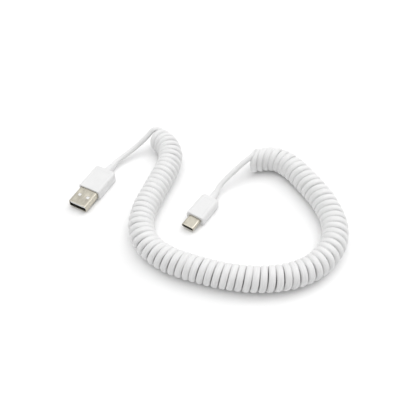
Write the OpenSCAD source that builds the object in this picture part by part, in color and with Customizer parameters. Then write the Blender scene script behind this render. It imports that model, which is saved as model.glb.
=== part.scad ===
// Coiled charging cable: a USB-A plug and a USB-C plug joined by a curly cord that lies in a hook.
// Frame: +Z up, the cable lies on z = 0, and the origin is the centre of its footprint.
// Each plug is drawn along its own axis, +Y towards its lead, with the tip of its shell at y = 0.

/* [Cord] */
// Diameter of the cord's jacket
cord_d = 3.3; // [3:0.1:3.6]
// Outer diameter of the coil
coil_d = 15.3; // [14:0.1:16]

/* [USB-A plug] */
// Width of the metal shell
a_shell_w = 12; // [11.9:0.05:12.1]
// Height of the metal shell
a_shell_h = 4.5; // [4.4:0.05:4.6]
// Length of shell in front of the housing
a_shell_exposed = 12.5; // [11.8:0.1:13]
// Width of the housing
a_housing_w = 14.8; // [14.4:0.1:16]
// Thickness of the housing
a_housing_h = 7.2; // [7:0.1:8]
// Length of the housing
a_housing_l = 19.2; // [17:0.1:20]

/* [USB-C plug] */
// Width of the metal shell
c_shell_w = 8.3; // [8.2:0.02:8.34]
// Height of the metal shell
c_shell_h = 2.5; // [2.4:0.02:2.56]
// Length of shell in front of the housing
c_shell_exposed = 7.8; // [6.6:0.1:8]
// Width of the housing
c_housing_w = 12.2; // [12:0.1:13]
// Thickness of the housing
c_housing_h = 6.4; // [6.2:0.1:7]
// Length of the housing
c_housing_l = 18; // [16:0.1:19]

/* [Strain relief] */
// Length of each strain relief behind its housing
relief_l = 6; // [5:0.5:8]
// Diameter of each strain relief where it leaves the housing
relief_d = 5; // [4.6:0.1:5.6]

/* [Hidden] */

$fn = 48;
fit = 0.02;          // play left round a part that sits in another
body_gap = 0.3;      // gap between solids that move apart
over = 1;            // how far a cutting solid runs past the face it cuts
wall = 0.3;          // sheet metal thickness
strip_t = 0.25;      // thickness of a contact strip
wire_d = 0.8;        // one insulated wire
wire_pitch = 1.1;    // spacing of the four wires where they enter the jacket
wire_stop = 0.3;     // how far in front of the jacket each wire stops
solder = 0.12;       // solder between a wire and what it lies on
crimp_d = cord_d + 1;
crimp_l = 2.2;       // length of jacket in the crimp
crimp_lip = 0.4;     // how far the crimp stands in front of the jacket
strap_w = 2;         // width of the strap that joins a crimp to its shell
strap_bite = 0.05;   // how far the strap runs into the crimp's ring
bore_d = cord_d + 2 * fit;
collar_d = relief_d + 1;
collar_t = 0.8;      // thickness of the collar that holds a strain relief in its housing
rear_corner = 2.2;   // radius of a housing's rear corners, seen from above
mould_side = 1.2;    // thickness of a housing at each side of its inner mould

// Where each plug lies: the tip of its shell, and the direction that it points away from +Y.
a_place = [-77, 2.5];
a_yaw = 28;
c_place = [-10.5, -13.5];
c_yaw = 33;
a_mid = a_housing_h / 2;
c_mid = c_housing_h / 2;

// Stations along each plug's axis.
a_back = a_shell_exposed + a_housing_l;
a_end = a_back + relief_l;
a_block = 9.2;                       // front of the insulator's rear block
a_block_end = 17.6;
a_shell_l = a_shell_exposed + 6;
a_tail = a_block_end + 2.6;          // end of the contact strips
a_jacket = a_tail + 4.6;             // cut end of the jacket
a_mould = [a_shell_exposed + 0.9, a_back - 2.6];
c_back = c_shell_exposed + c_housing_l;
c_end = c_back + relief_l;
c_slot = 5.6;                        // depth of the slot in the carrier
c_shell_l = c_shell_exposed + 3.6;
c_board = [c_shell_l + 0.1, c_shell_l + 6];
c_jacket = c_board[1] + 2.2;         // cut end of the jacket
c_mould = [c_shell_exposed + 0.9, c_back - 2.6];

// Section radius of each housing, the radius of its inner mould, and the housing's thickness above it.
a_edge = 1.7;
a_mould_r = 1;
a_mould_cover = 0.9;
c_edge = 2.2;
c_mould_r = 1.4;
c_mould_cover = 0.8;

// Windows in the USB-A shell.
window = 2.1;
window_x = 2.9;
window_y = 7;

// USB-A contacts: offset from the middle and front end of each strip.
a_strip_w = 1;
a_strip_x = [3.5, 1, -1, -3.5];
a_strip_front = [1.2, 2.2, 2.2, 1.2];

// USB-C contacts.
c_strip_count = 12;
c_strip_pitch = 0.5;
c_strip_w = 0.26;
c_strip_front = 0.9;
c_strip_proud = 0.05;                // how far each strip stands into the slot

// USB-C latch springs and resistor.
latch_t = 0.24;
latch_h = 0.7;
latch_inset = 0.1;                   // from the side of the slot to the leaf
latch_front = 1.2;
resistor = [1, 0.6, 0.35];
resistor_y = 1.2;                    // from the front of the board
pad_back = 1.2;                      // from the wires' pads to the rear of the board

// The centre line of the coil on the floor, from its USB-A end to its USB-C end.
coil_route = [
    [-33.5, 55.5], [-26.5, 50], [-22.5, 41], [-23.5, 31], [-27.5, 20], [-32, 8], [-36, -4],
    [-37, -17], [-32, -30], [-20, -40], [-4, -46.5], [12, -51], [29, -53], [46, -51],
    [61, -44], [71.5, -31.5], [75, -17], [71.5, 0], [63.5, 16], [53, 31.5], [42.5, 38], [31, 36.5]
];
split_left = 10;     // route points at which the coil is cut into its three stretches
split_right = 13;
span_length = 16;    // length of the route between those points, per point
coil_sides = 12;
lead_sides = 8;

// The leads run from the cut end of each jacket, through the strain relief, to the end of the coil.
a_lead_free = [
    [-56.5, 39.5, 3.7], [-51, 44.8, 4.6], [-44.5, 50, 6.9], [-38.8, 54, 10.3], [-34.9, 57.2, 13.2]
];
c_lead_free = [
    [7.9, 15.9, 4.9], [10.7, 19.5, 6.4], [14.4, 23, 8], [18.5, 26.4, 9.8], [22.5, 29.8, 11.6],
    [28, 34, 13.4]
];

// ---- curves -------------------------------------------------------------------------------

// Point u of a smooth curve through pts, where a whole u is one of the points.
function before(pts, i) = i > 0 ? pts[i - 1] : 2 * pts[0] - pts[1];
function after(pts, i) = i < len(pts) - 1 ? pts[i + 1] : 2 * pts[i] - pts[i - 1];
function blend4(a, b, c, d, t) =
    (2 * b + (c - a) * t + (2 * a - 5 * b + 4 * c - d) * t * t + (3 * b - a - 3 * c + d) * t * t * t) / 2;
function curve_at(pts, u) =
    let (i = min(floor(u), len(pts) - 2))
    blend4(before(pts, i), pts[i], pts[i + 1], after(pts, i + 1), u - i);
function unit(v) = v / norm(v);
function heading(pts, u) =
    let (step = 0.05, last = len(pts) - 1)
    unit(curve_at(pts, min(u + step, last)) - curve_at(pts, max(u - step, 0)));

// One ring of a tube, square to its path.
function ring(centre, along, r, sides) =
    let (side = unit([-along[1], along[0], 0]), lift = cross(along, side))
    [for (k = [0:sides - 1]) centre + r * (cos(360 * k / sides) * side + sin(360 * k / sides) * lift)];

// A closed tube from a list of rings, all with the same number of sides.
module tube(rings) {
    sides = len(rings[0]);
    count = len(rings);
    points = [for (one = rings) for (p = one) p];
    walls = [for (i = [0:count - 2]) for (k = [0:sides - 1])
        let (a = i * sides + k, b = i * sides + (k + 1) % sides)
        [a, a + sides, b + sides, b]];
    first = [for (k = [0:sides - 1]) k];
    last = [for (k = [0:sides - 1]) count * sides - 1 - k];
    polyhedron(points = points, faces = concat([first], walls, [last]), convexity = 10);
}

function coil_ring(u) =
    let (p = curve_at(coil_route, u), t = heading(coil_route, u))
    ring([p[0], p[1], coil_d / 2], [t[0], t[1], 0], coil_d / 2, coil_sides);

module coil_stretch(from, to) {
    steps = ceil(2 * (to - from));
    tube([for (i = [0:steps]) coil_ring(from + (to - from) * i / steps)]);
}

// A point on a plug's axis, in the cable's frame.
function on_axis(place, yaw, y, z) = [place[0] + y * sin(yaw), place[1] + y * cos(yaw), z];

module lead_tube(place, yaw, z, from, to, free) {
    straight = [for (y = [from, to - 0.5, to + 0.9]) on_axis(place, yaw, y, z)];
    path = concat(straight, free);
    aim = [sin(yaw), cos(yaw), 0];
    last = len(path) - 1;
    tube([for (i = [0:last]) ring(path[i], i < 2 ? aim : heading(path, i), cord_d / 2, lead_sides)]);
}

// ---- shapes in a plug's frame -----------------------------------------------------------------

module rounded_rect(w, h, r) {
    square([w - 2 * r, h], center = true);
    if (h > 2 * r) square([w, h - 2 * r], center = true);
    for (x = [-1, 1], y = h > 2 * r ? [-1, 1] : [0])
        translate([x * (w / 2 - r), y * (h / 2 - r)]) circle(r);
}

// A bar along the plug's axis from y0 to y1, with a rounded section centred at height z.
module bar(w, h, r, y0, y1, z) {
    translate([0, y1, z]) rotate([90, 0, 0]) linear_extrude(y1 - y0) rounded_rect(w, h, r);
}

module box(x, y, z) {
    translate([x[0], y[0], z[0]]) cube([x[1] - x[0], y[1] - y[0], z[1] - z[0]]);
}

module rod(d, y0, y1, z) {
    translate([0, y1, z]) rotate([90, 0, 0]) cylinder(d = d, h = y1 - y0);
}

// A straight wire between two points.
module wire(a, b, d) {
    v = b - a;
    translate(a) rotate([0, acos(v[2] / norm(v)), atan2(v[1], v[0])]) cylinder(d = d, h = norm(v), $fn = 24);
}

// A housing with soft edges: a rounded section cut to a plan whose rear corners are round.
module housing_form(w, h, r, y0, y1, corner) {
    intersection() {
        bar(w, h, r, y0, y1, h / 2);
        linear_extrude(h) {
            translate([-w / 2, y0]) square([w, y1 - y0 - corner]);
            translate([-w / 2 + corner, y0]) square([w - 2 * corner, y1 - y0]);
            for (x = [-1, 1]) translate([x * (w / 2 - corner), y1 - corner]) circle(corner);
        }
    }
}

// The tapered sleeve behind a housing, with the collar that the housing grips.
module relief_form(y_in, y_back, y_end, z) {
    difference() {
        union() {
            rod(relief_d, y_in, y_back, z);
            rod(collar_d, y_in, y_in + collar_t, z);
            translate([0, y_back, z]) rotate([-90, 0, 0])
                cylinder(d1 = relief_d, d2 = cord_d + 0.9, h = y_end - y_back);
        }
        rod(bore_d, y_in - over, y_end + over, z);
    }
}

// The space that a strain relief takes inside its housing.
module relief_space(y_in, y_back, z) {
    rod(relief_d, y_in, y_back + over, z);
    rod(collar_d, y_in, y_in + collar_t, z);
}

// The ring that grips the jacket, with the strap that joins it to the shell.
module crimp_strap(y_shell, y_jacket, z, drop) {
    front = y_jacket - crimp_lip;
    across = [-strap_w / 2, strap_w / 2];
    box(across, [y_shell, front + wall], [z - drop, z - drop + wall]);
    box(across, [front, front + wall], [z - crimp_d / 2 + strap_bite, z - drop + wall]);
}

module crimp_form(y_shell, y_jacket, z, drop) {
    difference() {
        rod(crimp_d, y_jacket - crimp_lip, y_jacket + crimp_l, z);
        rod(bore_d, y_jacket - over, y_jacket + crimp_l + over, z);
    }
    crimp_strap(y_shell, y_jacket, z, drop);
}

// What a crimp, and the jacket in it, take out of an inner mould.
module crimp_space(y_shell, y_jacket, y_mould, z, drop) {
    rod(crimp_d, y_jacket - crimp_lip, y_jacket + crimp_l, z);
    rod(bore_d, y_jacket, y_mould + over, z);
    crimp_strap(y_shell - over, y_jacket, z, drop);
}

// Wires 0 and 3 enter the jacket above its middle, and 1 and 2 below it.
function wire_side(k) = k == 0 || k == 3 ? 1 : -1;
function wire_end(k, y, z) = [(k < 2 ? 1 : -1) * wire_pitch / 2, y, z + wire_side(k) * wire_pitch / 2];

module in_place(place, yaw) {
    translate([place[0], place[1], 0]) rotate([0, 0, -yaw]) children();
}

module at_a() { in_place(a_place, a_yaw) children(); }
module at_c() { in_place(c_place, c_yaw) children(); }

// ---- USB-A plug -------------------------------------------------------------------------------

module a_shell_form() {
    difference() {
        bar(a_shell_w, a_shell_h, 0.6, 0, a_shell_l, a_mid);
        bar(a_shell_w - 2 * wall, a_shell_h - 2 * wall, 0.3, -over, a_shell_l + over, a_mid);
        for (x = [-window_x, window_x])
            box([x - window / 2, x + window / 2], [window_y - window / 2, window_y + window / 2],
                [-over, a_housing_h + over]);
    }
}

// Underside of the tongue, where the contact strips lie.
a_tongue_z = a_mid;
a_tongue_top = a_mid + a_shell_h / 2 - wall;

module a_strip(k) {
    box([a_strip_x[k] - a_strip_w / 2, a_strip_x[k] + a_strip_w / 2], [a_strip_front[k], a_tail],
        [a_tongue_z, a_tongue_z + strip_t]);
}

module a_strips() {
    for (k = [0:3]) a_strip(k);
}

module a_insulator_form() {
    inner_w = a_shell_w - 2 * wall;
    inner_h = a_shell_h - 2 * wall;
    difference() {
        intersection() {
            bar(inner_w, inner_h, 0.3, 0.5, a_block_end, a_mid);
            union() {
                box([-inner_w, inner_w], [0, a_block_end], [a_tongue_z, a_tongue_top]);
                box([-inner_w, inner_w], [a_block, a_block_end], [0, a_tongue_top]);
            }
        }
        a_strips();
    }
}

module a_wire(k) {
    start = [a_strip_x[k], a_tail - 0.2, a_tongue_z + strip_t + wire_d / 2 + solder];
    wire(start, wire_end(k, a_jacket - wire_stop, a_mid), wire_d);
}

module a_wires() {
    for (k = [0:3]) a_wire(k);
}

module a_mould_form() {
    w = a_housing_w - 2 * mould_side;
    h = a_housing_h - 2 * a_mould_cover;
    bar(w, h, a_mould_r, a_mould[0], a_mould[1], a_mid);
}

module usb_a_shell() {
    color([0.78, 0.75, 0.69]) at_a() a_shell_form();
}

module usb_a_insulator() {
    color([0.95, 0.95, 0.94]) at_a() a_insulator_form();
}

module usb_a_contact(k) {
    color([0.83, 0.68, 0.38]) at_a() a_strip(k);
}

module usb_a_inner_mould() {
    color([0.88, 0.88, 0.86]) at_a() difference() {
        a_mould_form();
        bar(a_shell_w, a_shell_h, 0.6, 0, a_shell_l, a_mid);
        a_strips();
        a_wires();
        crimp_space(a_shell_l, a_jacket, a_mould[1], a_mid, a_shell_h / 2);
    }
}

module usb_a_housing() {
    color([0.95, 0.95, 0.95]) at_a() difference() {
        housing_form(a_housing_w, a_housing_h, a_edge, a_shell_exposed, a_back, rear_corner);
        bar(a_shell_w, a_shell_h, 0.6, a_shell_exposed - over, a_mould[0] + over, a_mid);
        a_mould_form();
        relief_space(a_mould[1], a_back, a_mid);
    }
}

module usb_a_strain_relief() {
    color([0.94, 0.94, 0.94]) at_a() relief_form(a_mould[1], a_back, a_end, a_mid);
}

module usb_a_shield_crimp() {
    color([0.72, 0.72, 0.7]) at_a() crimp_form(a_shell_l, a_jacket, a_mid, a_shell_h / 2);
}

module usb_a_wire(k, tone) {
    color(tone) at_a() a_wire(k);
}

// ---- USB-C plug -------------------------------------------------------------------------------

c_inner_w = c_shell_w - 2 * wall;
c_inner_h = c_shell_h - 2 * wall;
c_slot_w = 5.9;
c_slot_h = 0.9;

module c_shell_form() {
    difference() {
        bar(c_shell_w, c_shell_h, c_shell_h / 2, 0, c_shell_l, c_mid);
        bar(c_inner_w, c_inner_h, c_inner_h / 2, -over, c_shell_l + over, c_mid);
    }
}

// One row of strips: side is +1 for the upper row and -1 for the lower one.
module c_strips(side) {
    for (i = [0:c_strip_count - 1]) {
        x = (i - (c_strip_count - 1) / 2) * c_strip_pitch;
        z = c_mid + side * (c_slot_h / 2 + strip_t / 2 - c_strip_proud);
        box([x - c_strip_w / 2, x + c_strip_w / 2], [c_strip_front, c_shell_l],
            [z - strip_t / 2, z + strip_t / 2]);
    }
}

// The spring at one side of the slot: a flat leaf.
module c_latch(side) {
    x = side * (c_slot_w / 2 + latch_inset + latch_t / 2);
    box([x - latch_t / 2, x + latch_t / 2], [latch_front, c_shell_l],
        [c_mid - latch_h / 2, c_mid + latch_h / 2]);
}

module c_carrier_form() {
    difference() {
        bar(c_inner_w, c_inner_h, c_inner_h / 2, 0.35, c_shell_l, c_mid);
        box([-c_slot_w / 2, c_slot_w / 2], [-over, c_slot], [c_mid - c_slot_h / 2, c_mid + c_slot_h / 2]);
        c_strips(1);
        c_strips(-1);
        c_latch(1);
        c_latch(-1);
    }
}

c_board_w = 7.2;
c_board_t = 0.6;
c_pad_x = [0.8, 2.4, -2.4, -0.8];
c_pad_y = c_board[1] - pad_back;

module c_board_form() {
    box([-c_board_w / 2, c_board_w / 2], c_board, [c_mid - c_board_t / 2, c_mid + c_board_t / 2]);
}

module c_resistor_form() {
    face = c_mid + c_board_t / 2;
    front = c_board[0] + resistor_y;
    box([-resistor[0] / 2, resistor[0] / 2], [front, front + resistor[1]], [face, face + resistor[2]]);
}

module c_wire(k) {
    start = [c_pad_x[k], c_pad_y, c_mid + wire_side(k) * (c_board_t / 2 + wire_d / 2 + solder)];
    wire(start, wire_end(k, c_jacket - wire_stop, c_mid), wire_d);
}

module c_wires() {
    for (k = [0:3]) c_wire(k);
}

module c_mould_form() {
    w = c_housing_w - 2 * mould_side;
    h = c_housing_h - 2 * c_mould_cover;
    bar(w, h, c_mould_r, c_mould[0], c_mould[1], c_mid);
}

module usb_c_shell() {
    color([0.78, 0.75, 0.69]) at_c() c_shell_form();
}

module usb_c_contact_carrier() {
    color([0.08, 0.08, 0.09]) at_c() c_carrier_form();
}

module usb_c_contacts(side) {
    color([0.83, 0.68, 0.38]) at_c() c_strips(side);
}

module usb_c_latch(side) {
    color([0.7, 0.7, 0.72]) at_c() c_latch(side);
}

module usb_c_circuit_board() {
    color([0.1, 0.35, 0.2]) at_c() c_board_form();
}

module usb_c_resistor() {
    color([0.1, 0.1, 0.1]) at_c() c_resistor_form();
}

module usb_c_inner_mould() {
    color([0.88, 0.88, 0.86]) at_c() difference() {
        c_mould_form();
        bar(c_shell_w, c_shell_h, c_shell_h / 2, 0, c_shell_l, c_mid);
        box([-c_board_w / 2, c_board_w / 2], [c_shell_l - over, c_board[1]],
            [c_mid - c_board_t / 2, c_mid + c_board_t / 2]);
        c_resistor_form();
        c_wires();
        crimp_space(c_shell_l, c_jacket, c_mould[1], c_mid, c_shell_h / 2);
    }
}

module usb_c_housing() {
    color([0.95, 0.95, 0.95]) at_c() difference() {
        housing_form(c_housing_w, c_housing_h, c_edge, c_shell_exposed, c_back, rear_corner);
        bar(c_shell_w, c_shell_h, c_shell_h / 2, c_shell_exposed - over, c_mould[0] + over, c_mid);
        c_mould_form();
        relief_space(c_mould[1], c_back, c_mid);
    }
}

module usb_c_strain_relief() {
    color([0.94, 0.94, 0.94]) at_c() relief_form(c_mould[1], c_back, c_end, c_mid);
}

module usb_c_shield_crimp() {
    color([0.72, 0.72, 0.7]) at_c() crimp_form(c_shell_l, c_jacket, c_mid, c_shell_h / 2);
}

module usb_c_wire(k, tone) {
    color(tone) at_c() c_wire(k);
}

// ---- cord -------------------------------------------------------------------------------------

jacket_tone = [0.93, 0.93, 0.93];

module usb_a_lead() {
    color(jacket_tone) lead_tube(a_place, a_yaw, a_mid, a_jacket, a_end, a_lead_free);
}

module coil_usb_a_end() {
    color(jacket_tone) coil_stretch(0, split_left);
}

module coil_middle() {
    color(jacket_tone) coil_stretch(split_left, split_right);
}

module coil_usb_c_end() {
    color(jacket_tone) coil_stretch(split_right + body_gap / span_length, len(coil_route) - 1);
}

module usb_c_lead() {
    color(jacket_tone) lead_tube(c_place, c_yaw, c_mid, c_jacket, c_end, c_lead_free);
}

usb_a_shell();
usb_a_insulator();
usb_a_contact(0);  // usb_a_contact_vbus
usb_a_contact(1);  // usb_a_contact_data_minus
usb_a_contact(2);  // usb_a_contact_data_plus
usb_a_contact(3);  // usb_a_contact_ground
usb_a_inner_mould();
usb_a_housing();
usb_a_strain_relief();
usb_a_shield_crimp();
usb_a_wire(0, [0.75, 0.1, 0.1]);  // usb_a_wire_red
usb_a_wire(1, [0.9, 0.9, 0.9]);  // usb_a_wire_white
usb_a_wire(2, [0.1, 0.5, 0.2]);  // usb_a_wire_green
usb_a_wire(3, [0.08, 0.08, 0.08]);  // usb_a_wire_black
usb_c_shell();
usb_c_contact_carrier();
usb_c_contacts(1);  // usb_c_contacts_upper
usb_c_contacts(-1);  // usb_c_contacts_lower
usb_c_latch(-1);  // usb_c_latch_left
usb_c_latch(1);  // usb_c_latch_right
usb_c_circuit_board();
usb_c_resistor();
usb_c_inner_mould();
usb_c_housing();
usb_c_strain_relief();
usb_c_shield_crimp();
usb_c_wire(0, [0.75, 0.1, 0.1]);  // usb_c_wire_red
usb_c_wire(1, [0.9, 0.9, 0.9]);  // usb_c_wire_white
usb_c_wire(2, [0.1, 0.5, 0.2]);  // usb_c_wire_green
usb_c_wire(3, [0.08, 0.08, 0.08]);  // usb_c_wire_black
usb_a_lead();
coil_usb_a_end();
coil_middle();
coil_usb_c_end();
usb_c_lead();
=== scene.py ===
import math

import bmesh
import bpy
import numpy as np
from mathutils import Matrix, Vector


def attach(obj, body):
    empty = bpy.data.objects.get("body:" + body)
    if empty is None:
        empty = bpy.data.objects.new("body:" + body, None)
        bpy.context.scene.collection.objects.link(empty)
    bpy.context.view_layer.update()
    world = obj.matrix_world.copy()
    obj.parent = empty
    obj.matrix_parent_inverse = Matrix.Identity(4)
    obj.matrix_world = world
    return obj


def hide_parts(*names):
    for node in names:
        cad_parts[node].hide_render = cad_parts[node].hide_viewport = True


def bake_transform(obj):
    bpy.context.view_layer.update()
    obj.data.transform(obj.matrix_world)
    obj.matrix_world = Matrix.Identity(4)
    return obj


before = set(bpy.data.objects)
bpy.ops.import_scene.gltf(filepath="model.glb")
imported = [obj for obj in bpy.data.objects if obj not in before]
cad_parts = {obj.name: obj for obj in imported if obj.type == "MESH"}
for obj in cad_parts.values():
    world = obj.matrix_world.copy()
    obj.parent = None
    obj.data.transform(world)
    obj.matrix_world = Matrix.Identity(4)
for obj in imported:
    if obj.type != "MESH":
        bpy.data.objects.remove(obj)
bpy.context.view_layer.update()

# Looks of the coiled charging cable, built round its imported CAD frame.
#
# The cord is one line, cut into three pieces: the lead of the USB-A plug, the coil, and the lead of the USB-C
# plug. The housings, strain reliefs and metal shells are soft-edged meshes that stand for their CAD solids.
# The parts inside the plugs stay the CAD's own and get materials.

MM = 0.001
SEED = 7

# ---- sizes, in metres ----------------------------------------------------------------------------

CORD_D = 3.3 * MM
COIL_D = 15.3 * MM
COIL_R = (COIL_D - CORD_D) / 2      # from the coil's axis to the middle of the cord
TURNS = 76
RELIEF_L = 6 * MM
RELIEF_D = 5 * MM

# Each plug: where the middle of its shell's mouth is, and its turn from +Y in degrees; its shell's section
# and rounding, where just under half the height makes round ends; how much of the shell shows and how long
# it is; its housing's section, length, rounding along its edges and at its rear corners; its inner mould's
# rounding and the plastic over it; and where its jacket is cut. These are the CAD's. mouth_r rounds the gap
# round the shell, and bend is how far its lead bends the end of its strain relief, sideways and up.
USB_A = dict(
    name="usb_a", body="usb_a_plug", place=(-77 * MM, 2.5 * MM), yaw=28,
    shell_w=12 * MM, shell_h=4.5 * MM, shell_r=0.6 * MM, mouth_r=0.599 * MM,
    exposed=12.5 * MM, shell_l=18.5 * MM,
    w=14.8 * MM, h=7.2 * MM, l=19.2 * MM, edge=1.7 * MM, corner=2.2 * MM,
    mould_r=1 * MM, cover=0.9 * MM, jacket=24.8 * MM,
    bend=(0.35 * MM, 0.1 * MM),
)
USB_C = dict(
    name="usb_c", body="usb_c_plug", place=(-10.5 * MM, -13.5 * MM), yaw=33,
    shell_w=8.3 * MM, shell_h=2.5 * MM, shell_r=1.249 * MM, mouth_r=1.249 * MM,
    exposed=7.8 * MM, shell_l=11.4 * MM,
    w=12.2 * MM, h=6.4 * MM, l=18 * MM, edge=2.2 * MM, corner=2.2 * MM,
    mould_r=1.4 * MM, cover=0.8 * MM, jacket=19.6 * MM,
    bend=(-0.1 * MM, 0.75 * MM),
)

# The coil's route, seen from above, from the USB-A plug's end to the USB-C plug's. Then each lead's route,
# from its strain relief to the coil.
COIL_ROUTE = [
    (-0.0335, 0.0555), (-0.0265, 0.050), (-0.0225, 0.041), (-0.0235, 0.031), (-0.0275, 0.020),
    (-0.032, 0.008), (-0.036, -0.004), (-0.037, -0.017), (-0.032, -0.030), (-0.020, -0.040),
    (-0.004, -0.0465), (0.012, -0.051), (0.029, -0.053), (0.046, -0.051), (0.061, -0.044),
    (0.0715, -0.0315), (0.075, -0.017), (0.0715, 0.0), (0.0635, 0.016), (0.053, 0.0315),
    (0.0425, 0.038), (0.029, 0.036),
]
A_LEAD = [
    (-0.0565, 0.0395, 0.0037), (-0.051, 0.0448, 0.0046), (-0.0445, 0.050, 0.0069),
    (-0.0388, 0.054, 0.0103), (-0.0349, 0.0572, 0.0132),
]
C_LEAD = [
    (0.0079, 0.0159, 0.0049), (0.0107, 0.0195, 0.0064), (0.0144, 0.023, 0.008),
    (0.0185, 0.0264, 0.0098), (0.0225, 0.0298, 0.0116), (0.028, 0.034, 0.0134),
]


# ---- camera, light and floor -------------------------------------------------------------------

def add(name, data):
    """A new object in the scene, that holds data."""
    made = bpy.data.objects.new(name, data)
    bpy.context.scene.collection.objects.link(made)
    return made


def make_camera():
    data = bpy.data.cameras.new("camera")
    data.sensor_width = 36
    data.lens = 58.4
    target, distance, height = Vector((0.0015, 0.004, 0)), 0.410, math.radians(50)
    camera = add("camera", data)
    camera.location = target + distance * Vector((0, -math.cos(height), math.sin(height)))
    camera.rotation_euler = (math.radians(90) - height, 0, 0)
    bpy.context.scene.camera = camera


def soft_sun(name, azimuth, elevation, spread, strength):
    """A wide, even light from far away: azimuth 0 is from behind the cable, and 90 from its right."""
    data = bpy.data.lights.new(name, "SUN")
    data.angle = math.radians(spread)
    data.energy = strength
    a, e = math.radians(azimuth), math.radians(elevation)
    towards = Vector((math.sin(a) * math.cos(e), math.cos(a) * math.cos(e), math.sin(e)))
    add(name, data).rotation_euler = (-towards).to_track_quat("-Z", "Y").to_euler()


def make_world(strength):
    """Dim light from all round, behind a backdrop that looks white."""
    world = bpy.data.worlds.new("studio")
    bpy.context.scene.world = world
    world.use_nodes = True
    nodes, links = world.node_tree.nodes, world.node_tree.links
    fill = nodes["Background"]
    fill.inputs["Color"].default_value = (1, 1, 1, 1)
    fill.inputs["Strength"].default_value = strength
    backdrop = nodes.new("ShaderNodeBackground")
    backdrop.inputs["Color"].default_value = (1, 1, 1, 1)
    mix = nodes.new("ShaderNodeMixShader")
    links.new(nodes.new("ShaderNodeLightPath").outputs["Is Camera Ray"], mix.inputs[0])
    links.new(fill.outputs[0], mix.inputs[1])
    links.new(backdrop.outputs[0], mix.inputs[2])
    links.new(mix.outputs[0], nodes["World Output"].inputs["Surface"])


def make_stage():
    bpy.ops.mesh.primitive_plane_add(size=40)
    floor = bpy.context.object
    floor.name = "floor"
    floor.data.materials.append(floor_material())
    make_world(0.39)
    soft_sun("key", azimuth=52, elevation=43, spread=50, strength=0.92)
    soft_sun("softbox", azimuth=0, elevation=88, spread=62, strength=1.46)
    soft_sun("fill", azimuth=285, elevation=33, spread=80, strength=0.45)
    bpy.context.scene.view_settings.view_transform = "Standard"


# ---- materials -----------------------------------------------------------------------------------

class Shader:
    """A material with a Principled shader, and short ways to add nodes to it."""

    def __init__(self, name, color, **values):
        self.material = bpy.data.materials.new(name)
        self.material.use_nodes = True
        self.nodes = self.material.node_tree.nodes
        self.links = self.material.node_tree.links
        self.surface = self.nodes["Principled BSDF"]
        self.surface.inputs["Base Color"].default_value = (*color, 1)
        for key, value in values.items():
            self.surface.inputs[key.replace("_", " ")].default_value = value

    def node(self, kind, **settings):
        made = self.nodes.new(kind)
        for key, value in settings.items():
            if key in made.inputs:
                made.inputs[key].default_value = value
            else:
                setattr(made, key, value)
        return made

    def join(self, out, into):
        self.links.new(out, into)

    def place(self, scale=(1, 1, 1), attribute=None):
        """Object coordinates, or those of an attribute, stretched by scale."""
        if attribute:
            source = self.node("ShaderNodeAttribute", attribute_name=attribute).outputs["Vector"]
        else:
            source = self.node("ShaderNodeTexCoord").outputs["Object"]
        stretch = self.node("ShaderNodeVectorMath", operation="MULTIPLY")
        stretch.inputs[1].default_value = scale
        self.join(source, stretch.inputs[0])
        return stretch.outputs["Vector"]

    def noise(self, where, scale, detail=3.0, roughness=0.5):
        made = self.node("ShaderNodeTexNoise", Scale=scale, Detail=detail, Roughness=roughness)
        self.join(where, made.inputs["Vector"])
        return made.outputs["Fac"]

    def span(self, value, low, high, from_low=0.3, from_high=0.7):
        """value, mapped from its usual span to low..high."""
        made = self.node("ShaderNodeMapRange")
        made.inputs["From Min"].default_value = from_low
        made.inputs["From Max"].default_value = from_high
        made.inputs["To Min"].default_value = low
        made.inputs["To Max"].default_value = high
        self.join(value, made.inputs["Value"])
        return made.outputs["Result"]

    def tint(self, value, low, high):
        """A colour between low and high, driven by value."""
        made = self.node("ShaderNodeMix", data_type="RGBA")
        made.inputs["A"].default_value = (*low, 1)
        made.inputs["B"].default_value = (*high, 1)
        self.join(value, made.inputs["Factor"])
        self.join(made.outputs["Result"], self.surface.inputs["Base Color"])

    def bump(self, height, distance, under=None):
        """Relief of that depth, on top of the relief that under gives, and returned for the next."""
        made = self.node("ShaderNodeBump", Distance=distance)
        self.join(height, made.inputs["Height"])
        if under is not None:
            self.join(under, made.inputs["Normal"])
        self.join(made.outputs["Normal"], self.surface.inputs["Normal"])
        return made.outputs["Normal"]


def floor_material():
    shader = Shader("studio_floor", (0.96, 0.96, 0.96), Roughness=0.9)
    grain = shader.noise(shader.place(), 40)
    shader.tint(shader.span(grain, 0, 1), (0.955, 0.955, 0.955), (0.97, 0.97, 0.97))
    return shader.material


def jacket_material():
    """Soft white jacket with fine lines along it, left by the die that it was drawn through."""
    shader = Shader("cord_jacket", (0.83, 0.83, 0.83), Roughness=0.5, Subsurface_Weight=0.4,
                    Subsurface_Radius=(1, 1, 1), Subsurface_Scale=0.7 * MM)
    round_it = shader.place((1, 1, 3), attribute="cord_place")
    lines = shader.noise(round_it, 3.2, detail=3, roughness=0.6)
    pores = shader.noise(shader.place(), 5200, detail=2)
    shader.tint(shader.span(lines, 0, 1), (0.77, 0.77, 0.77), (0.86, 0.86, 0.858))
    shader.join(shader.span(pores, 0.44, 0.58), shader.surface.inputs["Roughness"])
    first = shader.bump(lines, 0.22 * MM)
    shader.bump(pores, 0.015 * MM, under=first)
    return shader.material


def moulded_material(name, low, high, roughness):
    """Moulded plastic: slightly uneven colour, and the fine grain of its mould."""
    shader = Shader(name, low, Roughness=roughness)
    spark = shader.noise(shader.place(), 3400, detail=3)
    clouds = shader.noise(shader.place(), 140, detail=3)
    shader.tint(shader.span(clouds, 0, 1), low, high)
    dull = shader.span(spark, roughness - 0.06, roughness + 0.08)
    shader.join(dull, shader.surface.inputs["Roughness"])
    shader.bump(spark, 0.02 * MM)
    return shader.material


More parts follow.
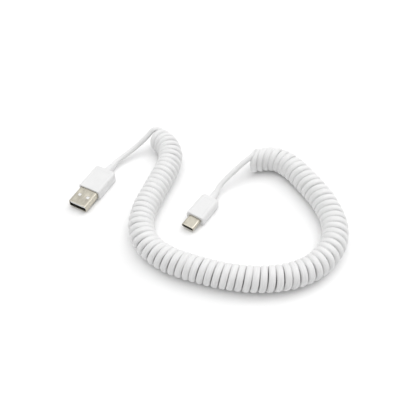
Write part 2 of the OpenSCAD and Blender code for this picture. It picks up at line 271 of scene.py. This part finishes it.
def metal_material(name, low, high, roughness, yaw=0.0):
    """Plated or stamped metal, with grain along a part that points yaw degrees from +Y."""
    shader = Shader(name, low, Metallic=1.0, Roughness=roughness)
    turn = shader.node("ShaderNodeVectorRotate", rotation_type="Z_AXIS", Angle=math.radians(yaw))
    shader.join(shader.node("ShaderNodeTexCoord").outputs["Object"], turn.inputs["Vector"])
    stretch = shader.node("ShaderNodeVectorMath", operation="MULTIPLY")
    stretch.inputs[1].default_value = (700, 110, 700)
    shader.join(turn.outputs["Vector"], stretch.inputs[0])
    brushed = shader.noise(stretch.outputs["Vector"], 2.5, detail=4, roughness=0.6)
    shader.tint(shader.span(brushed, 0, 1), low, high)
    worn = shader.span(brushed, roughness - 0.08, roughness + 0.10)
    shader.join(worn, shader.surface.inputs["Roughness"])
    shader.bump(brushed, 0.008 * MM)
    return shader.material


def board_material():
    """Green solder mask over copper, which shows through as slightly lighter tracks."""
    shader = Shader("circuit_board", (0.02, 0.16, 0.06), Roughness=0.35)
    tracks = shader.node("ShaderNodeTexVoronoi", Scale=900, distance="CHEBYCHEV")
    shader.join(shader.place(), tracks.inputs["Vector"])
    copper = shader.span(tracks.outputs["Distance"], 0, 1, 0.1, 0.5)
    shader.tint(copper, (0.02, 0.13, 0.05), (0.03, 0.24, 0.09))
    shader.bump(tracks.outputs["Distance"], 0.03 * MM)
    return shader.material


# ---- curves --------------------------------------------------------------------------------------

def smooth_points(points, count):
    """count points a span along the smooth curve through points, the same curve as the CAD's."""
    pts = np.array(points, float)
    pts = np.vstack([2 * pts[0] - pts[1], pts, 2 * pts[-1] - pts[-2]])
    out = []
    for i in range(len(pts) - 3):
        a, b, c, d = pts[i:i + 4]
        for t in np.arange(count) / count:
            out.append((2 * b + (c - a) * t + (2 * a - 5 * b + 4 * c - d) * t**2
                        + (3 * b - a - 3 * c + d) * t**3) / 2)
    return np.array(out + [pts[-2]])


def lengths(line):
    return np.concatenate([[0], np.cumsum(np.linalg.norm(np.diff(line, axis=0), axis=1))])


def at_length(line, along, where):
    return np.stack([np.interp(where, along, line[:, k]) for k in range(line.shape[1])], axis=-1)


def unit(v):
    return v / np.linalg.norm(v, axis=-1, keepdims=True)


def hermite(a, b, a_way, b_way, count):
    """count points from a to b, leaving along a_way and arriving along b_way, without the end point."""
    t = (np.arange(count) / count)[:, None]
    return ((2 * t**3 - 3 * t**2 + 1) * a + (t**3 - 2 * t**2 + t) * a_way
            + (3 * t**2 - 2 * t**3) * b + (t**3 - t**2) * b_way)


# ---- the cord -------------------------------------------------------------------------------------

SIDES = 14              # points round the cord
ANGLES = 2 * math.pi * np.arange(SIDES) / SIDES     # where they are
RINGS_A_TURN = 30
RINGS_A_SPAN = 12       # from one point of a lead's route to the next, and in each join
ROUTE_STEPS = 40        # from one point of the coil's route to the next
SHARES = 20001          # steps along the coil in which its spacing is added up
LEAN_SPAN = 9 * MM      # a turn faces along the chord of this much coil on each side of it
FLAT_A, FLAT_C = 0.13, 0.25             # how much wider the cord is along the coil, flattened by winding
SQUARER = 2.7           # power of its rounded section there, where 2 would be an ellipse
REACH = 1.15            # how far each join between a lead and the coil keeps the direction of its ends
END_A, END_C = 0.125, 0.16              # share of a turn at each end that is bent out into the lead
TWIST_C = math.radians(-32)             # how far its lead turns the last turn at the USB-C end
LOOSER = 0.21           # how much wider the turns are spaced towards the USB-C end than at the USB-A end
CLOSING = 0.14          # how much closer they lie again over the last stretch
CLOSING_FROM = 0.88     # share of the coil where that stretch begins
PULL_A, PULL_C = 2.0 * MM, 1.5 * MM     # how far each lead pulls the top of the end turn towards itself
PULL_SPAN = 24 * MM     # length of coil over which that pull fades
NUDGE_A = np.array([1.9, 0.5]) * MM     # how far the turns at the USB-A end lie off the route
TUCK_C = 2 * MM         # how far the far side of the last turn at the USB-C end lies back along the coil
TUCK_FROM = 0.65        # turns before the end where that begins
UNEVEN = 0.12 * MM      # how far a turn strays from its neighbours
STRAYS_A_TURN = 3       # how often that changes
STRAY_SMOOTHING = 8
PLACE_A_METRE = 10      # scale of the places along the cord that its material reads


def eased(value, start, end):
    """0 before start, 1 after end, and a smooth step between."""
    t = np.clip((value - start) / (end - start), 0, 1)
    return t * t * (3 - 2 * t)


def smoothed(line, times):
    """line, with each point drawn halfway to the middle of its neighbours, that many times."""
    for _ in range(times):
        line = np.vstack([line[:1], (line[:-2] + 2 * line[1:-1] + line[2:]) / 4, line[-1:]])
    return line


def coil_line():
    """The middle of the cord through the whole coil, how far along the route each of its points lies, counted
    in route points, and the way that its turn faces."""
    axis = smooth_points(COIL_ROUTE, ROUTE_STEPS)
    along = lengths(axis)
    route_at = np.arange(len(axis)) / ROUTE_STEPS
    share = np.linspace(0, 1, SHARES)
    spacing = (1 + LOOSER * np.sin(math.pi / 2 * share)) * (1 - CLOSING * eased(share, CLOSING_FROM, 1))
    turn_at = np.cumsum(1 / spacing)
    turn_at = TURNS * (turn_at - turn_at[0]) / (turn_at[-1] - turn_at[0])
    count = int(RINGS_A_TURN * (TURNS - END_A - END_C)) + 1
    turn = np.linspace(END_A, TURNS - END_C, count)
    s = along[-1] * np.interp(turn, turn_at, share)
    middle = at_length(axis, along, s) + (1 - eased(s, 0, PULL_SPAN))[:, None] * NUDGE_A
    ahead = at_length(axis, along, np.minimum(s + LEAN_SPAN, along[-1]))
    behind = at_length(axis, along, np.maximum(s - LEAN_SPAN, 0))
    way = unit(ahead - behind)
    twist = TWIST_C * eased(s, along[-1] - PULL_SPAN, along[-1])
    faces = np.column_stack([way[:, 0] * np.cos(twist) - way[:, 1] * np.sin(twist),
                             way[:, 0] * np.sin(twist) + way[:, 1] * np.cos(twist)])
    left = np.stack([-faces[:, 1], faces[:, 0]], axis=1)
    angle = 2 * math.pi * turn
    pull = PULL_C * eased(s, along[-1] - PULL_SPAN, along[-1]) - PULL_A * (1 - eased(s, 0, PULL_SPAN))
    tuck = TUCK_C * eased(turn, TURNS - TUCK_FROM, TURNS - END_C)
    stray = np.random.default_rng(SEED).normal(0, UNEVEN, (2, STRAYS_A_TURN * TURNS))
    knots = np.arange(STRAYS_A_TURN * TURNS) / STRAYS_A_TURN
    sway, rise = smoothed(np.column_stack([np.interp(turn, knots, row) for row in stray]),
                          STRAY_SMOOTHING).T
    line = np.column_stack([
        middle + COIL_R * np.sin(angle)[:, None] * left + (pull * np.cos(angle) + sway - tuck)[:, None] * way,
        COIL_D / 2 + (COIL_R - np.abs(rise)) * np.cos(angle),
    ])
    return line, np.interp(s, along, route_at), np.column_stack([faces, np.zeros(count)])


def ring_frames(line):
    """A pair of directions across the line at each of its points, carried along it without twist."""
    way = unit(np.gradient(line, axis=0))
    side = unit(np.cross(way[0], (0.3, 0.2, 1.0)))
    sides = []
    for w in way:
        side = unit(side - (side @ w) * w)
        sides.append(side)
    sides = np.array(sides)
    return sides, np.cross(way, sides)


def cord_rings(line, frames, stretch):
    """A ring of points round each point of line. stretch lists how far each ring is drawn out, and in which
    direction."""
    side, lift = frames
    across = np.cos(ANGLES)[None, :, None] * side[:, None] + np.sin(ANGLES)[None, :, None] * lift[:, None]
    amount = np.linalg.norm(stretch, axis=1)[:, None]
    towards = (stretch / np.maximum(amount, 1e-9))[:, None]
    share = np.sum(across * towards, axis=2)
    squared = (np.abs(share) ** SQUARER + np.clip(1 - share**2, 0, 1) ** (SQUARER / 2)) ** (-1 / SQUARER)
    grown = 1 + (squared - 1) * np.minimum(1, amount / FLAT_A)
    outwards = across + (amount * share)[:, :, None] * towards
    return line[:, None] + CORD_D / 2 * grown[:, :, None] * outwards


def tube(name, line, rings, material):
    """A closed tube round line, with each point's place round and along it kept for the material."""
    count = len(line)
    points = [tuple(p) for p in rings.reshape(-1, 3)] + [tuple(line[0]), tuple(line[-1])]
    faces = []
    for i in range(count - 1):
        for k in range(SIDES):
            a, b = i * SIDES + k, i * SIDES + (k + 1) % SIDES
            faces.append((a, b, b + SIDES, a + SIDES))
    for k in range(SIDES):
        last = (count - 1) * SIDES
        faces.append((k, count * SIDES, (k + 1) % SIDES))
        faces.append((last + k, last + (k + 1) % SIDES, count * SIDES + 1))
    mesh = bpy.data.meshes.new(name)
    mesh.from_pydata(points, [], faces)
    mesh.shade_smooth()
    mesh.set_sharp_from_angle(angle=math.radians(60))
    place = np.zeros((len(points), 3))
    along = lengths(line) * PLACE_A_METRE
    place[:count * SIDES, 0] = np.tile(np.cos(ANGLES), count)
    place[:count * SIDES, 1] = np.tile(np.sin(ANGLES), count)
    place[:count * SIDES, 2] = np.repeat(along, SIDES)
    place[-2:, 2] = along[[0, -1]]
    attribute = mesh.attributes.new("cord_place", "FLOAT_VECTOR", "POINT")
    attribute.data.foreach_set("vector", place.ravel())
    mesh.materials.append(material)
    return add(name, mesh)


def in_plug(plug, section, y):
    """Points of a section across a plug, placed at y along it, in the cable's frame. Behind the housing the
    strain relief bends, and what is in it bends too."""
    yaw = math.radians(plug["yaw"])
    bent = max(0.0, (y - plug["exposed"] - plug["l"]) / RELIEF_L) ** 2
    x = section[:, 0] + bent * plug["bend"][0]
    z = section[:, 1] + bent * plug["bend"][1] + plug["h"] / 2
    return np.column_stack([
        plug["place"][0] + x * math.cos(yaw) + y * math.sin(yaw),
        plug["place"][1] - x * math.sin(yaw) + y * math.cos(yaw),
        z,
    ])


def lead_points(plug, free):
    """The lead's line, from the cut end of its jacket inside the plug to the coil."""
    back = plug["exposed"] + plug["l"]
    middle = np.zeros((1, 2))
    stations = plug["jacket"], back, back + RELIEF_L / 2, back + RELIEF_L
    held = [in_plug(plug, middle, y)[0] for y in stations]
    return smooth_points(held + free, RINGS_A_SPAN)


def whole_cord():
    """The line of the whole cord, its rings, how far along the route each of the coil's rings lies, and the
    numbers of the first and last of those."""
    lead_a = lead_points(USB_A, A_LEAD)
    lead_c = lead_points(USB_C, C_LEAD)[::-1]
    turns, route_at, coil_way = coil_line()
    joins = []
    for near, far in ((lead_a, turns), (turns, lead_c)):
        leaving, arriving = unit(near[-1] - near[-2]), unit(far[1] - far[0])
        reach = REACH * np.linalg.norm(far[0] - near[-1])
        joins.append(hermite(near[-1], far[0], leaving * reach, arriving * reach, RINGS_A_SPAN))
    cord = np.vstack([lead_a[:-1], joins[0], turns[:-1], joins[1], lead_c])
    start, end = len(lead_a) - 1, len(cord) - len(lead_c)
    at = np.concatenate([np.zeros(RINGS_A_SPAN), route_at[:-1], np.full(RINGS_A_SPAN + 1, route_at[-1])])
    flattened = np.zeros_like(cord)
    inside = slice(start + RINGS_A_SPAN, start + RINGS_A_SPAN + len(turns))
    ring = np.arange(len(turns))
    ease = eased(ring, 0, RINGS_A_TURN) * (1 - eased(ring, len(turns) - RINGS_A_TURN, len(turns) - 1))
    amount = np.linspace(FLAT_A, FLAT_C, len(turns)) * ease
    flattened[inside] = amount[:, None] * coil_way
    return cord, cord_rings(cord, ring_frames(cord), flattened), at, start, end


def make_cord(material):
    """The cord's three pieces, cut from one line."""
    cord, rings, at, start, end = whole_cord()
    coil_at, a_at, c_at = slice(start, end + 1), slice(0, start + 1), slice(end, len(cord))
    line = cord[coil_at]
    coil = tube("coil", line, rings[coil_at], material)
    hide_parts("coil_usb_a_end", "coil_middle", "coil_usb_c_end")
    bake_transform(coil)

    for plug, part, near, coil_end in ((USB_A, a_at, "coil_near", -1), (USB_C, c_at, "coil_far", 0)):
        line = cord[part]
        piece = tube(plug["name"] + "_cord", line, rings[part], material)
        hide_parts(plug["name"] + "_lead")
        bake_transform(piece)


# ---- the plugs ------------------------------------------------------------------------------------

GROOVE = 0.22 * MM      # gap round a shell where it enters its housing
GROOVE_DEEP = 0.5 * MM
LIP = 0.5 * MM          # rounding of a housing's front edge
LIP_STEPS = 5
REAR_EDGE = 1.1 * MM    # rounding of its rear edges, above and below
REAR_STEPS = 12
PLAY = 0.02 * MM        # between pieces that fit into each other
MOULD_FRONT = 0.9 * MM  # from a housing's front to its inner mould
MOULD_BACK = 2.6 * MM   # from a housing's back to its inner mould, where the strain relief's collar ends too
MOULD_SIDE = 1.2 * MM   # a housing's plastic beside the inner mould
PANEL = 0.14 * MM       # depth of the shallow panel in a housing's top and bottom
PANEL_EDGE = 0.6 * MM   # width of its soft edge
PANEL_FRONT = 1.5 * MM  # from a housing's front to it
PANEL_BACK = 0.5 * MM   # from it to the housing's rear corners
PANEL_SIDE = 0.2 * MM   # from it to the rounding along the housing's edges
PARTING = 0.05 * MM     # height of the line that the mould's two halves leave along each side
PARTING_W = 0.12 * MM   # half its width
ACROSS = [0.96, 0.9, 0.84, 0.78, 0.72, 0.5, 0.25]   # places across a section, closest at the panel's edge
COLLAR = 0.5 * MM       # how far a strain relief's collar stands out, inside the housing
COLLAR_L = 0.8 * MM
BEAD = 0.04 * MM        # height of a low ring on the relief where it leaves the housing
BEAD_Y = 0.25 * MM, 0.9 * MM        # where that ring begins and ends, from the housing's back
WAIST = 0.08 * MM       # how much thinner the relief is behind it
WAIST_Y = 1.15 * MM
TAPER = 0.35, 0.55, 0.75            # places along the relief where it gets thinner
RELIEF_WALL = 0.45 * MM             # round the cord at its thin end
RELIEF_LIP = 0.32 * MM              # rounding of that end
RELIEF_LIP_STEPS = 6
RELIEF_SIDES = 40
WALL = 0.3 * MM         # the shells' sheet
MOUTH_RING = 0.5 * MM   # a ring of points just inside a shell's mouth
SHEET_EDGE = 0.07 * MM  # rounding of the sheet's edges
WINDOW_X = 1.85 * MM, 3.95 * MM     # the USB-A shell's windows, from its middle line
WINDOW_Y = 5.95 * MM, 8.05 * MM     # and from its mouth
SEAM = 0.04 * MM        # half the width of the seam under it
CORNER_STEPS = 7        # round each corner of a section
SAME = 1e-7             # points closer than this become one


def side_points(half):
    """Places up a section's side, close together at the parting line."""
    line = min(PARTING_W, half / 4)
    return [-0.6 * half, -line, 0, line, 0.6 * half]


def outline(w, h, r, across=None, parting=0.0):
    """Points round a rounded section, from the middle of its bottom side. across lists the places of the
    points along its top and bottom sides, from one corner, -1, to the other, 1."""
    half_w, half_h = w / 2 - r, h / 2 - r
    across = [half_w * x for x in (across or [-x for x in ACROSS] + [0] + ACROSS[::-1])]
    points = [(x, -h / 2) for x in across if x >= 0]
    for sign_x, sign_z, first in ((1, -1, -90), (1, 1, 0), (-1, 1, 90), (-1, -1, 180)):
        for k in range(CORNER_STEPS + 1):
            a = math.radians(first + 90 * k / CORNER_STEPS)
            points.append((sign_x * half_w + r * math.cos(a), sign_z * half_h + r * math.sin(a)))
        if first == -90:
            points += [(w / 2 + parting * (z == 0), z) for z in side_points(half_h)]
        elif first == 0:
            points += [(x, h / 2) for x in reversed(across)]
        elif first == 90:
            points += [(-w / 2 - parting * (z == 0), -z) for z in side_points(half_h)]
    return np.array(points + [(x, -h / 2) for x in across if x < 0])


def circle_like(points, radius):
    """A circle with one point for each point of an outline, at the same angle."""
    return radius * unit(points)


def clean_mesh(name, points, faces):
    """A smooth mesh of those points and faces, without doubled or unused ones, that faces outwards."""
    mesh = bpy.data.meshes.new(name)
    mesh.from_pydata(points, [], faces)
    work = bmesh.new()
    work.from_mesh(mesh)
    bmesh.ops.remove_doubles(work, verts=work.verts, dist=SAME)
    bmesh.ops.dissolve_degenerate(work, edges=work.edges, dist=SAME)
    bmesh.ops.delete(work, geom=[v for v in work.verts if not v.link_faces], context="VERTS")
    bmesh.ops.recalc_face_normals(work, faces=work.faces)
    work.to_mesh(mesh)
    work.free()
    mesh.shade_smooth()
    return mesh


def skin(name, rings, material, body, replaced, sharp=35):
    """A piece whose skin runs through rings with equal numbers of points, and back to the first."""
    count, sides = len(rings), len(rings[0])
    faces = []
    for i in range(count):
        for k in range(sides):
            a, b = i * sides, (i + 1) % count * sides
            n = (k + 1) % sides
            faces.append((a + k, b + k, b + n, a + n))
    mesh = clean_mesh(name, [tuple(p) for ring in rings for p in ring], faces)
    mesh.set_sharp_from_angle(angle=math.radians(sharp))
    mesh.materials.append(material)
    piece = add(name, mesh)
    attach(piece, body)
    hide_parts(replaced)
    return piece


def rounded_in(radius, depth):
    """How far a rounded edge of that radius lies inside its corner, at that depth from the end."""
    return radius - math.sqrt(max(0.0, radius**2 - (radius - min(depth, radius)) ** 2))


def make_housing(plug, material):
    """The overmould: a hollow skin, open at the front for the shell and at the back for the relief."""
    w, h, edge = plug["w"], plug["h"], plug["edge"]
    front, back = plug["exposed"], plug["exposed"] + plug["l"]
    mould_front, mould_back = front + MOULD_FRONT, back - MOULD_BACK
    panel_half = w / 2 - edge - PANEL_SIDE
    panel_ends = front + PANEL_FRONT, back - plug["corner"] - PANEL_BACK

    def mouth(gap, y):
        section = outline(plug["shell_w"] + 2 * gap, plug["shell_h"] + 2 * gap, plug["mouth_r"] + gap)
        return in_plug(plug, section, y)

    def body(in_x, in_z, y):
        section = outline(w - 2 * in_x, h - 2 * in_z, edge - max(in_x, in_z) / 2, parting=PARTING)
        level = np.abs(np.abs(section[:, 1]) - (h / 2 - in_z)) < SAME
        inside = np.minimum(panel_half - np.abs(section[:, 0]), min(y - panel_ends[0], panel_ends[1] - y))
        sunk = PANEL * eased(inside, 0, PANEL_EDGE) * level
        section[:, 1] -= sunk * np.sign(section[:, 1])
        return in_plug(plug, section, y)

    def hollow(y):
        return in_plug(plug, outline(w - 2 * MOULD_SIDE, h - 2 * plug["cover"], plug["mould_r"]), y)

    def hole(y):
        return in_plug(plug, circle_like(outline(w, h, edge), RELIEF_D / 2 + PLAY), y)

    chamfer = 0.1 * MM
    rings = [mouth(PLAY, mould_front), mouth(PLAY, front + GROOVE_DEEP),
             mouth(GROOVE, front + GROOVE_DEEP * 0.6), mouth(GROOVE, front + chamfer),
             mouth(GROOVE + chamfer, front)]
    for k in range(LIP_STEPS + 1):
        deep = LIP * (1 - math.cos(math.radians(90 * k / LIP_STEPS)))
        rings.append(body(rounded_in(LIP, deep), rounded_in(LIP, deep), front + deep))
    soft = [PANEL_EDGE * k / 4 for k in range(5)]
    stations = [panel_ends[0] + x for x in soft] + [panel_ends[1] - x for x in reversed(soft)]
    stations[5:5] = list(np.linspace(stations[4], stations[5], 6)[1:-1])
    rings += [body(0, 0, y) for y in stations + [back - plug["corner"]]]
    for k in range(1, REAR_STEPS + 1):
        left = plug["corner"] * (1 - math.sin(math.radians(90 * k / REAR_STEPS)))
        rings.append(body(rounded_in(plug["corner"], left), rounded_in(REAR_EDGE, left), back - left))
    rings += [hole(back), hole(mould_back), hollow(mould_back), hollow(mould_front)]
    skin(plug["name"] + "_overmould", rings, material, plug["body"], plug["name"] + "_housing")


def make_relief(plug, material):
    """The sleeve behind a housing: a collar inside it, a straight neck, and a taper with a round lip."""
    back = plug["exposed"] + plug["l"]
    start, end = back - MOULD_BACK, back + RELIEF_L
    bore, neck, tip = CORD_D / 2 + PLAY, RELIEF_D / 2, CORD_D / 2 + RELIEF_WALL
    waist = neck - WAIST
    profile = [(start, bore), (start, neck + COLLAR), (start + COLLAR_L, neck + COLLAR),
               (start + COLLAR_L, neck), (back, neck), (back + BEAD_Y[0], neck + BEAD),
               (back + BEAD_Y[1], neck + BEAD), (back + WAIST_Y, waist)]
    profile += [(back + RELIEF_L * t, waist + (tip - waist) * t) for t in TAPER]
    for k in range(RELIEF_LIP_STEPS + 1):
        a = math.radians(90 * k / RELIEF_LIP_STEPS)
        profile.append((end - RELIEF_LIP * (1 - math.sin(a)), tip - RELIEF_LIP * (1 - math.cos(a))))
    profile += [(end - 0.1 * MM, bore), (back, bore)]
    turn = 2 * math.pi * np.arange(RELIEF_SIDES) / RELIEF_SIDES
    circle = np.column_stack([np.cos(turn), np.sin(turn)])
    rings = [in_plug(plug, r * circle, y) for y, r in profile]
    skin(plug["name"] + "_relief", rings, material, plug["body"],
         plug["name"] + "_strain_relief", sharp=40)


def make_shell(plug, material, inside):
    """The metal shell: sheet bent to its section, with the USB-A plug's four windows and its seam. inside is
    the material of its inner face: a dark metal that is painted shade, the shadow deep in the shell's mouth."""
    folded = plug is USB_A
    flat = plug["shell_w"] / 2 - plug["shell_r"]
    if folded:
        near, far = (x / flat for x in WINDOW_X)
        across = [-far, -near, -SEAM / flat, SEAM / flat, near, far]
        stations = [0, MOUTH_RING, *WINDOW_Y, plug["exposed"], plug["shell_l"]]
    else:
        across = None
        stations = [0, MOUTH_RING, 2 * MM, 4 * MM, 6 * MM, plug["exposed"], plug["shell_l"]]
    section = outline(plug["shell_w"], plug["shell_h"], plug["shell_r"], across)
    sides = len(section)
    points = [tuple(p) for y in stations for p in in_plug(plug, section, y)]
    faces = []
    for i in range(len(stations) - 1):
        for k in range(sides):
            n = (k + 1) % sides
            x = (section[k, 0] + section[n, 0]) / 2
            level = folded and abs(section[k, 1] - section[n, 1]) < SAME
            in_window = level and stations[i] == WINDOW_Y[0] and WINDOW_X[0] < abs(x) < WINDOW_X[1]
            in_seam = level and abs(x) < SEAM / 2 and section[k, 1] < 0
            if not in_window and not in_seam:
                a, b = i * sides, (i + 1) * sides
                faces.append((a + k, a + n, b + n, b + k))
    mesh = clean_mesh(plug["name"] + "_plated_shell", points, faces)
    mesh.materials.append(material)
    mesh.materials.append(inside)
    piece = add(mesh.name, mesh)
    sheet = piece.modifiers.new("sheet", "SOLIDIFY")
    sheet.thickness = WALL
    sheet.offset = -1
    # The inner faces take the second material, a dark metal that is painted shade inside the mouth.
    sheet.material_offset = 1
    sheet.use_even_offset = True
    edges = piece.modifiers.new("edges", "BEVEL")
    edges.width = SHEET_EDGE
    edges.segments = 2
    edges.limit_method = "ANGLE"
    edges.angle_limit = math.radians(50)
    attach(piece, plug["body"])
    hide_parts(plug["name"] + "_shell")


def paint(node, material):
    """Gives a CAD node its material."""
    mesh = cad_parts[node].data
    mesh.materials.clear()
    mesh.materials.append(material)


def paint_inner_parts():
    """Materials for the CAD nodes inside the plugs."""
    gold = metal_material("gold_contact", (0.78, 0.56, 0.22), (0.86, 0.64, 0.28), 0.3)
    steel = metal_material("spring_steel", (0.5, 0.5, 0.5), (0.6, 0.6, 0.59), 0.35)
    tin = metal_material("crimp_metal", (0.55, 0.54, 0.51), (0.63, 0.62, 0.6), 0.4)
    white = moulded_material("white_insulator", (0.8, 0.8, 0.79), (0.84, 0.84, 0.83), 0.4)
    black = moulded_material("black_insulator", (0.012, 0.012, 0.013), (0.02, 0.02, 0.021), 0.5)
    inner = moulded_material("inner_mould", (0.7, 0.7, 0.68), (0.76, 0.76, 0.74), 0.5)
    tones = {
        "red": (0.55, 0.03, 0.03), "white": (0.8, 0.8, 0.8),
        "green": (0.03, 0.3, 0.08), "black": (0.02, 0.02, 0.02),
    }
    wires = {}
    for name, tone in tones.items():
        lighter = tuple(min(1, 1.15 * c + 0.01) for c in tone)
        wires[name] = moulded_material("wire_" + name, tone, lighter, 0.35)
    chosen = {
        "usb_a_insulator": white, "usb_c_contact_carrier": black,
        "usb_c_circuit_board": board_material(), "usb_c_resistor": black,
    }
    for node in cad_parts:
        if "_contact" in node and not node.endswith("_carrier"):
            chosen[node] = gold
        elif "_latch_" in node:
            chosen[node] = steel
        elif node.endswith("_crimp"):
            chosen[node] = tin
        elif node.endswith("_inner_mould"):
            chosen[node] = inner
        elif "_wire_" in node:
            chosen[node] = wires[node.rsplit("_", 1)[1]]
    for node, material in chosen.items():
        paint(node, material)


# ---- build ----------------------------------------------------------------------------------------

make_camera()
make_stage()
jacket = jacket_material()
plastic = moulded_material("housing", (0.77, 0.77, 0.77), (0.80, 0.80, 0.80), 0.42)
rubber = moulded_material("strain_relief", (0.76, 0.76, 0.76), (0.79, 0.79, 0.79), 0.5)
for plug in (USB_A, USB_C):
    name, yaw = plug["name"], plug["yaw"]
    nickel = metal_material("plated_shell_" + name, (0.56, 0.53, 0.45), (0.68, 0.645, 0.555), 0.4, yaw)
    # Dark metal for each shell's inner faces: painted shade, standing in for the shadow inside its mouth.
    painted_shade_metal = metal_material("shell_painted_shade_inside_" + name, (0.07, 0.065, 0.055), (0.10, 0.095, 0.08), 0.5, yaw)
    make_housing(plug, plastic)
    make_relief(plug, rubber)
    make_shell(plug, nickel, painted_shade_metal)
paint_inner_parts()
make_cord(jacket)
